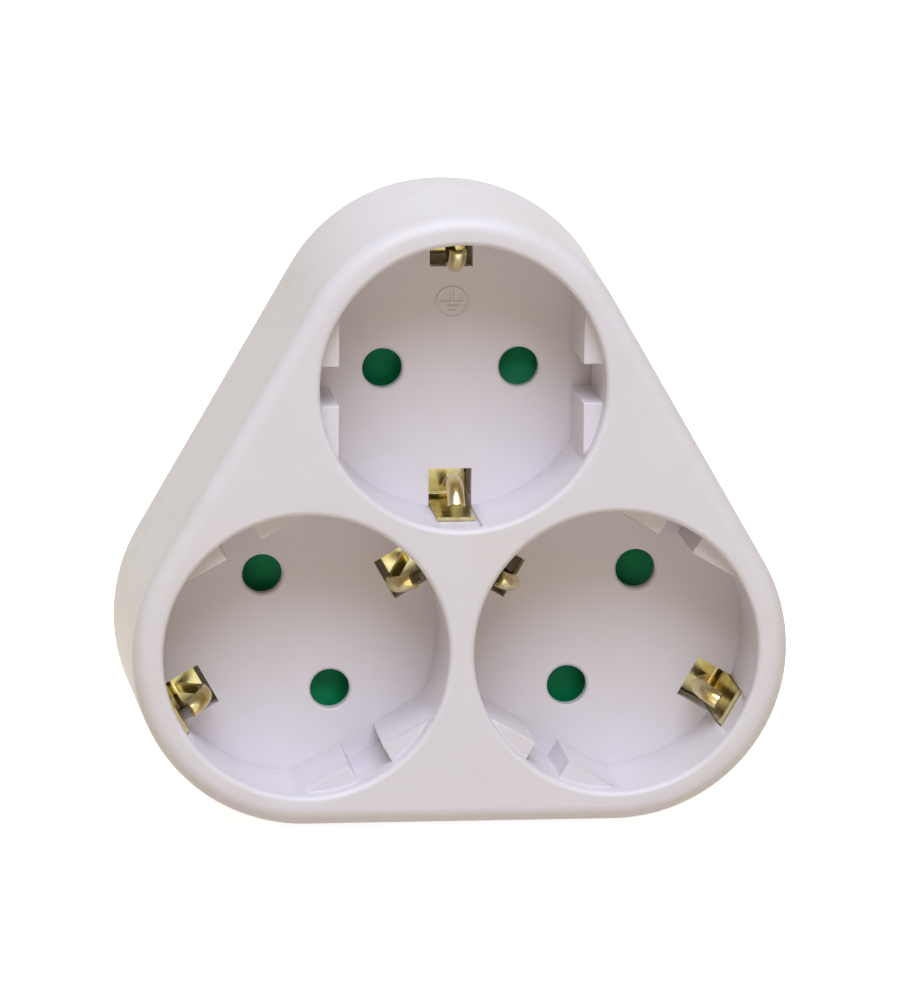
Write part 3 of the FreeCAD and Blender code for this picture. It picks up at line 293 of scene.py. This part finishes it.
def buildEarthMark():
    # the protective earth sign: a ring, a stem and three bars that shorten
    tree = bpy.data.node_groups.new("earthMark", "GeometryNodeTree")
    tree.interface.new_socket("Geometry", in_out="OUTPUT", socket_type="NodeSocketGeometry")
    for label, kind in (("Place", "Vector"), ("Ring Radius", "Float"), ("Line Width", "Float"),
                        ("Relief", "Float"), ("Longest Bar", "Float"), ("Bar Pitch", "Float"), ("Bars", "Int")):
        tree.interface.new_socket(label, in_out="INPUT", socket_type="NodeSocket" + kind)
    given = addNode(tree, "NodeGroupInput").outputs

    ring = addNode(tree, "GeometryNodeCurvePrimitiveCircle", {"Radius": given["Ring Radius"]},
                   inputs={"Resolution": 64})
    top = addNode(tree, "ShaderNodeCombineXYZ", {"Y": given["Ring Radius"]})
    stem = addNode(tree, "GeometryNodeCurvePrimitiveLine", {"Start": top.outputs["Vector"]},
                   inputs={"End": (0, 0, 0)})

    # the longest bar, laid on one point for each bar and shortened there
    half = addNode(tree, "ShaderNodeMath", {0: given["Longest Bar"]}, operation="MULTIPLY", inputs={1: 0.5})
    less = addNode(tree, "ShaderNodeMath", {0: half.outputs["Value"]}, operation="MULTIPLY", inputs={1: -1.0})
    left = addNode(tree, "ShaderNodeCombineXYZ", {"X": less.outputs["Value"]})
    right = addNode(tree, "ShaderNodeCombineXYZ", {"X": half.outputs["Value"]})
    bar = addNode(tree, "GeometryNodeCurvePrimitiveLine",
                  {"Start": left.outputs["Vector"], "End": right.outputs["Vector"]})
    down = addNode(tree, "ShaderNodeMath", {0: given["Bar Pitch"]}, operation="MULTIPLY", inputs={1: -1.0})
    step = addNode(tree, "ShaderNodeCombineXYZ", {"Y": down.outputs["Value"]})
    rows = addNode(tree, "GeometryNodeMeshLine", {"Count": given["Bars"], "Offset": step.outputs["Vector"]})
    place = addNode(tree, "GeometryNodeInputIndex")
    share = addNode(tree, "ShaderNodeMath", {0: place.outputs["Index"], 1: given["Bars"]}, operation="DIVIDE")
    kept = addNode(tree, "ShaderNodeMath", {1: share.outputs["Value"]}, operation="SUBTRACT", inputs={0: 1.0})
    width = addNode(tree, "ShaderNodeCombineXYZ", {"X": kept.outputs["Value"]}, inputs={"Y": 1.0, "Z": 1.0})
    bars = addNode(tree, "GeometryNodeInstanceOnPoints",
                   {"Points": rows.outputs["Mesh"], "Instance": bar.outputs["Curve"],
                    "Scale": width.outputs["Vector"]})
    bars = addNode(tree, "GeometryNodeRealizeInstances", {"Geometry": bars.outputs["Instances"]})

    # flat beads along all the lines, stood up against the floor
    lines = addNode(tree, "GeometryNodeJoinGeometry")
    for part in (ring.outputs["Curve"], stem.outputs["Curve"], bars.outputs["Geometry"]):
        tree.links.new(part, lines.inputs["Geometry"])
    thick = addNode(tree, "ShaderNodeMath", {0: given["Line Width"]}, operation="MULTIPLY", inputs={1: 0.5})
    section = addNode(tree, "GeometryNodeCurvePrimitiveCircle", {"Radius": thick.outputs["Value"]},
                      inputs={"Resolution": 16})
    beads = addNode(tree, "GeometryNodeCurveToMesh",
                    {"Curve": lines.outputs["Geometry"], "Profile Curve": section.outputs["Curve"]},
                    inputs={"Fill Caps": True})
    flatness = addNode(tree, "ShaderNodeMath", {0: given["Relief"], 1: thick.outputs["Value"]}, operation="DIVIDE")
    flatten = addNode(tree, "ShaderNodeCombineXYZ", {"Z": flatness.outputs["Value"]}, inputs={"X": 1.0, "Y": 1.0})
    stand = addNode(tree, "GeometryNodeTransform",
                    {"Geometry": beads.outputs["Mesh"], "Translation": given["Place"],
                     "Scale": flatten.outputs["Vector"]},
                    inputs={"Rotation": (math.radians(90), 0, 0)})
    whole = addNode(tree, "GeometryNodeRealizeInstances", {"Geometry": stand.outputs["Geometry"]})
    painted = addNode(tree, "GeometryNodeSetMaterial", {"Geometry": whole.outputs["Geometry"]},
                      inputs={"Material": plateAbs})
    addNode(tree, "NodeGroupOutput", {"Geometry": painted.outputs["Geometry"]})

    carrier = bpy.data.objects.new("earthMarkTree", bpy.data.meshes.new("earthMarkTree"))
    bpy.context.collection.objects.link(carrier)
    maker = carrier.modifiers.new("earthMark", "NODES")
    maker.node_group = tree
    sizes = {"Place": "place", "Ring Radius": "ringRadius", "Line Width": "lineWidth", "Relief": "relief",
             "Longest Bar": "longestBar", "Bar Pitch": "barPitch", "Bars": "bars"}
    for socket in tree.interface.items_tree:
        if socket.in_out == "INPUT":
            maker[socket.identifier] = earthMark[sizes[socket.name]]
    evaluated = carrier.evaluated_get(bpy.context.evaluated_depsgraph_get())
    mesh = bpy.data.meshes.new_from_object(evaluated)
    for face in mesh.polygons:
        face.use_smooth = True
    bpy.data.objects.remove(carrier)
    piece = bpy.data.objects.new("earth_mark", mesh)
    bpy.context.collection.objects.link(piece)
    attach(piece, "adapter")
    print("earth mark:", len(mesh.polygons), "faces")


buildEarthMark()


room = {
    "floorSize": 6.0,
    "floorColour": "#DDD2C0",       # warm pale paper
    "floorLift": 0.92,              # what the paper adds to the camera and in reflections
    "ambient": 0.24,
    "ambientColour": "#FFF178",     # warm bounce from the room's walls
    "lampAim": (0, -0.02, 0.045),
    # turn and rise are degrees to the right and up, as seen from the front
    "lamps": [
        {"name": "softbox", "turn": -3, "rise": 55, "distance": 1.4, "size": 1.15, "watts": 25.8,
         "colour": "#DFE9FD", "mirrored": True},
        {"name": "backFill", "turn": 178, "rise": 9, "distance": 1.6, "size": 0.5, "watts": 14.0,
         "colour": "#F4F5FF", "mirrored": False},
    ],
}


def seenDirectly(tree):
    # 1 for what the camera sees, also in a mirror or through glass, and 0 for what only lights the object
    rays = addNode(tree, "ShaderNodeLightPath").outputs
    seen = addNode(tree, "ShaderNodeMath", {0: rays["Is Camera Ray"], 1: rays["Is Glossy Ray"]},
                   operation="MAXIMUM")
    seen = addNode(tree, "ShaderNodeMath", {0: seen.outputs["Value"], 1: rays["Is Transmission Ray"]},
                   operation="MAXIMUM")
    return seen.outputs["Value"]


def buildFloor():
    material, tree = newMaterial("paperSweep")  # matt seamless paper
    seen = seenDirectly(tree)
    lift = addNode(tree, "ShaderNodeMath", {0: seen}, operation="MULTIPLY", inputs={1: room["floorLift"]})
    paper = addNode(tree, "ShaderNodeBsdfPrincipled", {"Emission Strength": lift.outputs["Value"]},
                    inputs={"Base Color": hexColour(room["floorColour"]), "Roughness": 1.0,
                            "Specular IOR Level": 0.0, "Emission Color": (1, 1, 1, 1)})
    finishMaterial(tree, paper.outputs["BSDF"])
    mesh = bpy.data.meshes.new("floor")
    half = room["floorSize"] / 2
    corners = [(-half, -half, 0), (half, -half, 0), (half, half, 0), (-half, half, 0)]
    mesh.from_pydata(corners, [], [(0, 1, 2, 3)])
    mesh.materials.append(material)
    floor = bpy.data.objects.new("floor", mesh)
    bpy.context.collection.objects.link(floor)


def buildWorld():
    world = bpy.data.worlds.new("studio")
    bpy.context.scene.world = world
    world.use_nodes = True
    tree = world.node_tree
    tree.nodes.clear()
    seen = seenDirectly(tree)
    strength = addNode(tree, "ShaderNodeMapRange", {"Value": seen},
                       inputs={"To Min": room["ambient"], "To Max": 1.0})
    tint = addNode(tree, "ShaderNodeMix", {"Factor": seen}, data_type="RGBA",
                   inputs={"A": hexColour(room["ambientColour"]), "B": (1, 1, 1, 1)})
    sky = addNode(tree, "ShaderNodeBackground",
                  {"Strength": strength.outputs["Result"], "Color": tint.outputs["Result"]})
    addNode(tree, "ShaderNodeOutputWorld", {"Surface": sky.outputs["Background"]})


def placeLamps():
    aim = Vector(room["lampAim"])
    for lamp in room["lamps"]:
        data = bpy.data.lights.new(lamp["name"], "AREA")
        data.shape = "DISK"
        data.size = lamp["size"]
        data.energy = lamp["watts"]
        data.color = hexColour(lamp["colour"])[:3]
        holder = bpy.data.objects.new(lamp["name"], data)
        swing = Matrix.Rotation(math.radians(lamp["turn"]), 3, "Z")
        lift = Matrix.Rotation(-math.radians(lamp["rise"]), 3, "X")
        away = swing @ lift @ Vector((0, -1, 0))
        holder.location = aim + away * lamp["distance"]
        holder.rotation_euler = (-away).to_track_quat("-Z", "Y").to_euler()
        holder.visible_camera = False
        holder.visible_glossy = lamp["mirrored"]
        bpy.context.collection.objects.link(holder)


buildFloor()
buildWorld()
placeLamps()
print("room built")


viewpoint = {
    "aim": (-1.84 * mm, -38 * mm, 46.28 * mm),
    "turn": -6.07,      # degrees to the left of straight ahead
    "rise": 10.66,
    "roll": 0.36,
    "distance": 1.0,
    "lens": 263.5,
}


def placeCamera():
    turn, rise = math.radians(viewpoint["turn"]), math.radians(viewpoint["rise"])
    back = Vector((math.sin(turn) * math.cos(rise), -math.cos(turn) * math.cos(rise), math.sin(rise)))
    right = Vector((math.cos(turn), math.sin(turn), 0))
    up = back.cross(right)
    axes = Matrix((right, up, back)).transposed() @ Matrix.Rotation(math.radians(viewpoint["roll"]), 3, "Z")
    data = bpy.data.cameras.new("camera")
    data.lens = viewpoint["lens"]
    data.sensor_width = 36
    camera = bpy.data.objects.new("camera", data)
    place = Vector(viewpoint["aim"]) + back * viewpoint["distance"]
    camera.matrix_world = Matrix.Translation(place) @ axes.to_4x4()
    bpy.context.collection.objects.link(camera)
    bpy.context.scene.camera = camera


placeCamera()
bpy.context.scene.view_settings.view_transform = "Standard"
